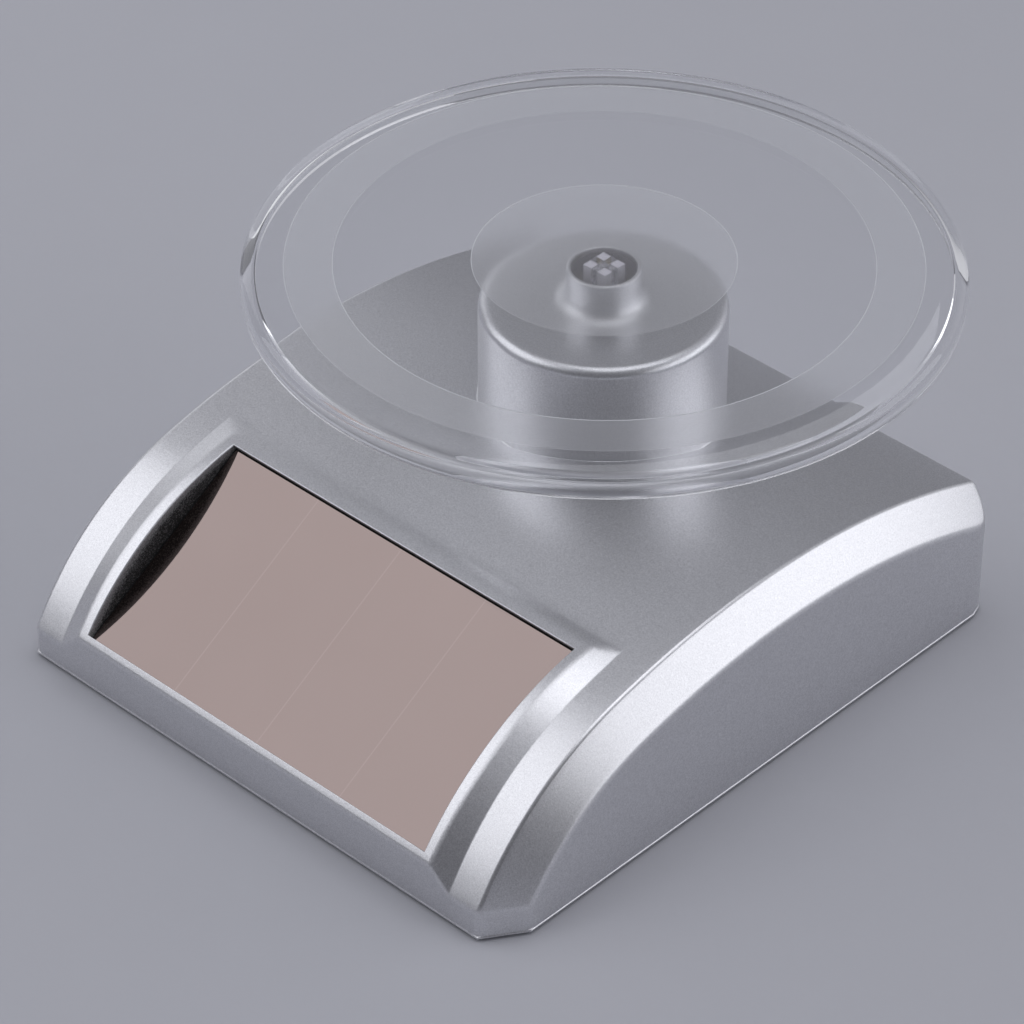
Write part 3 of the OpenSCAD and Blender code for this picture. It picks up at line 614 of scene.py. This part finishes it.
    # tower: rings of one closed profile between the outer and the inner roof
    square = ([(i, jy0) for i in range(ix0, ix1)] + [(ix1, j) for j in range(jy0, jy1)]
              + [(i, jy1) for i in range(ix1, ix0, -1)] + [(ix0, j) for j in range(jy1, jy0, -1)])
    n_sq = len(square)
    ang = [math.radians(-135 + 360.0 * k / n_sq) for k in range(n_sq)]

    def fan(source, radius, drop, layers, scale):
        rings = [[source[k] for k in square]]
        for s in layers:
            ring = []
            for k, key in enumerate(square):
                p = pos(*key)
                sx, sy = p[0] * scale, p[1] * scale
                x = sx + (radius * math.cos(ang[k]) - sx) * s
                y = sy + (radius * math.sin(ang[k]) - sy) * s
                ring.append(bm.verts.new(W((x, y, z_arch(y) - drop))))
            rings.append(ring)
        return rings

    def bridge(rings, flip=False):
        for a, b in zip(rings, rings[1:]):
            for k in range(n_sq):
                n = (k + 1) % n_sq
                f = (a[k], a[n], b[n], b[k])
                bm.faces.new(f if not flip else f[::-1])

    outer = fan(V, 17.4, 0.0, [0.25, 0.5, 0.72, 0.9, 1.0], 1.0)
    inner_f = fan(U, 15.6, 2.0, [0.5, 1.0], 0.97)
    bridge(outer)
    bridge(inner_f, True)
    prof = [(17.4, 29.6), (17.4, 33.0), (17.4, 37.0), (17.4, 41.0), (17.4, 43.5)]
    for a in (15, 30, 45, 60, 75, 90):
        prof.append((16.0 + 1.4 * math.cos(math.radians(a)), 43.5 + 1.4 * math.sin(math.radians(a))))
    prof += [(15.6, 44.9), (13.0, 44.9), (10.5, 44.9), (8.3, 44.9)]
    fr = 1.9
    for a in range(0, 91, 10):
        prof.append((5.2 + fr - fr * math.sin(math.radians(a)), 44.9 + fr - fr * math.cos(math.radians(a))))
    prof += [(5.2, 49.0), (5.2, 49.95)]
    for a in (22, 45, 68, 90):
        prof.append((4.9 + 0.3 * math.cos(math.radians(a)), 50.0 + 0.3 * math.sin(math.radians(a))))
    prof += [(4.75, 50.3), (4.64, 50.25), (4.6, 50.14), (4.6, 49.5), (4.6, 46.0), (4.6, 38.0), (6.2, 38.0), (6.2, 43.1),
             (15.6, 43.1), (15.6, 32.0)]
    tower = [outer[-1]]
    for r, z in prof:
        tower.append([bm.verts.new(W((r * math.cos(a), r * math.sin(a), z))) for a in ang])
    tower.append(inner_f[-1])
    bore_from = len(prof) - 7
    # the bore below its top lip and the hollow under it take material 2, the dark painted shade
    for s, (a, b) in enumerate(zip(tower, tower[1:])):
        for k in range(n_sq):
            n = (k + 1) % n_sq
            f = bm.faces.new((a[k], a[n], b[n], b[k]))
            if s > bore_from:
                f.material_index = 2

    # creases that are rounded, with their radii as weights
    def row(j, i0, i1, w):
        for i in range(i0, i1):
            if (i, j) in V and (i + 1, j) in V:
                edge(V[i, j], V[i + 1, j], w)

    def col(i, j0, j1, w):
        for j in range(j0, j1):
            if (i, j) in V and (i, j + 1) in V:
                edge(V[i, j], V[i, j + 1], w)

    def near(vals, v):
        return min(range(len(vals)), key=lambda k: abs(vals[k] - v))

    for s in (-1, 1):
        col(near(xs, s * (HW - BX)), 0, ny - 1, 0.42)
        col(near(xs, s * HW), 0, ny - 1, 0.66)
        col(near(xs, s * CREST_X), 0, near(ys, CREST_Y), 0.5)
        col(near(xs, s * FOOT_X), 0, near(ys, FOOT_Y), 0.16)
        for x0 in (HW - BX, HW):
            i = near(xs, s * x0)
            idx = rim.index((i, 0))
            for a, b in zip(out_rings[:4], out_rings[1:5]):
                edge(a[idx], b[idx], 0.8 if x0 < HW else 0.8)
    row(0, 0, nx - 1, 0.6)
    row(ny - 1, 0, nx - 1, 0.6)
    row(jl, iL, iR, 0.16)
    row(ju, iL, iR, 0.22)
    col(iL, jl, ju, 0.22)
    col(iR, jl, ju, 0.22)
    for k in range(n_sq):
        edge(outer[-1][k], outer[-1][(k + 1) % n_sq], 0.3)
    bmesh.ops.recalc_face_normals(bm, faces=bm.faces[:])
    o = new_piece("housing_shell", bm, [M["silver_paint"], WALL, BORE_SHADE], "base", ["top_housing"])
    bv = o.modifiers.new("edges", "BEVEL")
    bv.limit_method = "WEIGHT"
    bv.width = 0.001
    bv.segments = 4
    bv.use_clamp_overlap = True
    bv.miter_outer = "MITER_SHARP"
    apply_modifiers(o)
    # notch for the battery door, and the slot for the switch's knob
    cuts = [((-30.02, BD - 2.8, -1.0), (30.02, BD + 1.0, 1.7)),
            ((33.8, BD - 2.9, 7.3), (40.2, BD + 1.1, 10.7))]
    cutters = []
    for lo, hi in cuts:
        cb = bmesh.new()
        bmesh.ops.create_cube(cb, size=1.0)
        for v in cb.verts:
            v.co = W(tuple(lo[c] + (hi[c] - lo[c]) * (v.co[c] + 0.5) for c in range(3)))
        cm = bpy.data.meshes.new("cut")
        cb.to_mesh(cm)
        cb.free()
        co = bpy.data.objects.new("cut", cm)
        sc.collection.objects.link(co)
        cutters.append(co)
        bo = o.modifiers.new("cut", "BOOLEAN")
        bo.operation = "DIFFERENCE"
        bo.solver = "EXACT"
        bo.object = co
    apply_modifiers(o)
    for co in cutters:
        bpy.data.objects.remove(co, do_unlink=True)
    bm = bmesh.new()
    bm.from_mesh(o.data)
    for e in bm.edges:
        e.smooth = not (len(e.link_faces) == 2 and e.calc_face_angle(0) > math.radians(28))
    bm.to_mesh(o.data)
    bm.free()
    wnm = o.modifiers.new("normals", "WEIGHTED_NORMAL")
    wnm.keep_sharp = True
    wnm.weight = 50
    return o


housing()


# ---------------------------------------------------------------- the plate
def revolve(bm, prof, n, mats=None, closed=False, z_up=None):
    """Rings of the closed profile [(r, z)...]; r 0 becomes one point. Returns nothing."""
    rings = []
    for r, z in prof:
        if r < 1e-9:
            rings.append([bm.verts.new(W((0, 0, z)))])
        else:
            rings.append([bm.verts.new(W((r * math.cos(2 * math.pi * k / n), r * math.sin(2 * math.pi * k / n), z)))
                          for k in range(n)])
    pairs = list(zip(rings, rings[1:]))
    if closed:
        pairs.append((rings[-1], rings[0]))
    for s, (a, b) in enumerate(pairs):
        for k in range(n):
            m = (k + 1) % n
            if len(a) == 1 and len(b) == 1:
                continue
            if len(a) == 1:
                f = bm.faces.new((a[0], b[m], b[k]))
            elif len(b) == 1:
                f = bm.faces.new((a[k], a[m], b[0]))
            else:
                f = bm.faces.new((a[k], a[m], b[m], b[k]))
            if mats:
                f.material_index = mats[s]


def plate():
    bm = bmesh.new()
    R, T, ZT = 50.0, 1.8, 52.5
    prof, mats = [], []

    def go(r, z, m=0):
        prof.append((r, z))
        mats.append(m)

    f = 0.06
    go(0, ZT - f, 3)
    go(9, ZT - f, 3)
    # material 2 marks the steps at 18.2, 37.2 and 43.9 mm, which take the light grey painted highlight
    go(18.2, ZT - f, 2)
    go(18.3, ZT, 0)
    go(25, ZT, 0)
    go(31, ZT, 0)
    go(37.2, ZT, 2)
    go(37.3, ZT - f, 1)
    go(40.6, ZT - f, 1)
    go(43.9, ZT - f, 2)
    go(44.0, ZT, 0)
    go(46.2, ZT, 0)
    for a in range(90, -1, -10):
        go(48.1 + 1.9 * math.cos(math.radians(a)), 50.6 + 1.9 * math.sin(math.radians(a)))
    go(50.0, 49.8)
    for a in range(0, -181, -15):
        go(49.0 + 1.0 * math.cos(math.radians(a)), 49.7 + 1.0 * math.sin(math.radians(a)))
    go(48.0, 50.3)
    for a in (0, 30, 60, 90):
        go(47.6 + 0.4 * math.cos(math.radians(a)), 50.3 + 0.4 * math.sin(math.radians(a)))
    go(44.0, 50.7)
    go(30.0, 50.7)
    go(10.0, 50.7)
    go(3.0, 50.7)
    go(0, 50.7)
    revolve(bm, prof, 256, mats)
    # the key that drops into the cross slot of the shaft
    hx, hy, zt, zb = 1.95, 0.5, 50.7, 49.9 - 1.7
    ring = [(hx, -hy), (hx, hy), (hy, hy), (hy, hx), (-hy, hx), (-hy, hy), (-hx, hy), (-hx, -hy), (-hy, -hy),
            (-hy, -hx), (hy, -hx), (hy, -hy)]
    top = [bm.verts.new(W((x, y, zt + 0.05))) for x, y in ring]
    low = [bm.verts.new(W((x, y, zb))) for x, y in ring]
    bm.faces.new(top)
    bm.faces.new(low[::-1])
    for k in range(12):
        bm.faces.new((low[k], low[(k + 1) % 12], top[(k + 1) % 12], top[k]))
    bmesh.ops.recalc_face_normals(bm, faces=bm.faces[:])
    o = new_piece("clear_plate", bm, [M["clear_plastic"], FROST, STEP_HIGHLIGHT, FROST_MID], "turntable", ["turntable_plate"], 24)
    return o


plate()

# ------------------------------------------------------------- panel pieces
PA = math.radians(31.35)


def on_panel(u, v, w):
    """Point of the panel's plane: u across, v up the slope, w outward."""
    return W((u, -53.97 + v * math.cos(PA) - w * math.sin(PA), 16.45 + v * math.sin(PA) + w * math.cos(PA)))


def rounded_slab(name, u0, u1, v0, v1, w0, w1, mats, body, nodes, bevel):
    bm = bmesh.new()
    vs = [bm.verts.new(on_panel(u, v, w)) for w in (w0, w1) for v in (v0, v1) for u in (u0, u1)]
    for q in ((0, 2, 3, 1), (4, 5, 7, 6), (0, 1, 5, 4), (2, 6, 7, 3), (0, 4, 6, 2), (1, 3, 7, 5)):
        bm.faces.new([vs[k] for k in q])
    bmesh.ops.recalc_face_normals(bm, faces=bm.faces[:])
    bmesh.ops.bevel(bm, geom=bm.edges[:], offset=bevel, segments=3, profile=0.5, affect="EDGES")
    return new_piece(name, bm, mats, body, nodes, 10)


rounded_slab("panel_cover_glass", -32.3, 32.3, -17.0, 16.15, -1.0, 0.0, [M["panel_glass"]], "base",
             ["panel_glass"], 0.00006)

# ------------------------------------------------------------------ the floor
bm = bmesh.new()
for x, y in ((-3, -3), (3, -3), (3, 3), (-3, 3)):
    bm.verts.new((x, y, 0))
bm.faces.new(bm.verts)
me = bpy.data.meshes.new("floor")
bm.to_mesh(me)
bm.free()
floor = bpy.data.objects.new("floor", me)
sc.collection.objects.link(floor)
fl = plastic("floor_look", (0.475, 0.478, 0.515), (0.48, 0.483, 0.52), (0.8, 0.9), 900, 0.05, 1e-4)
me.materials.append(fl)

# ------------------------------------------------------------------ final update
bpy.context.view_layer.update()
